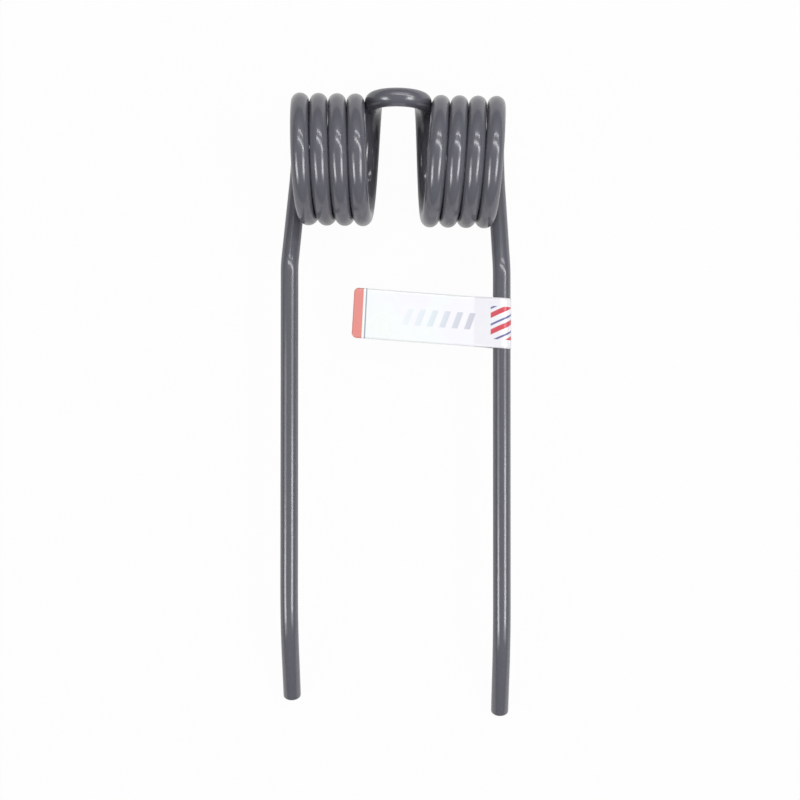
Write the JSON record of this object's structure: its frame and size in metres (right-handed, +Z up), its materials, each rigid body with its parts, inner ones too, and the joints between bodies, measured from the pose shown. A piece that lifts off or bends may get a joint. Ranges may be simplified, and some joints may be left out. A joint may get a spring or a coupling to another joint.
{
  "type": "baler pick-up tine",
  "caption": "Spring tine bent from round wire: mirrored coils joined by a bolt loop, long fingers with bent tips, and a film label folded round a finger.",
  "frame": {"origin": "on the surface under the middle of the tine's bounding box, as it lies on its coils and finger tips", "axes": "+X along the coils' axis, towards the finger with the label; +Y from the finger tips towards the coils; +Z up, out of the surface, the way the closed end of the bolt loop points"},
  "size_m": [0.0806, 0.2096, 0.0435],
  "materials": {
    "painted_wire": "glossy dark grey paint",
    "label_film": "thin glossy silvery white film, printed"
  },
  "bodies": {
    "root": {"tine": "painted_wire", "label": "label_film"}
  },
  "joints": []
}
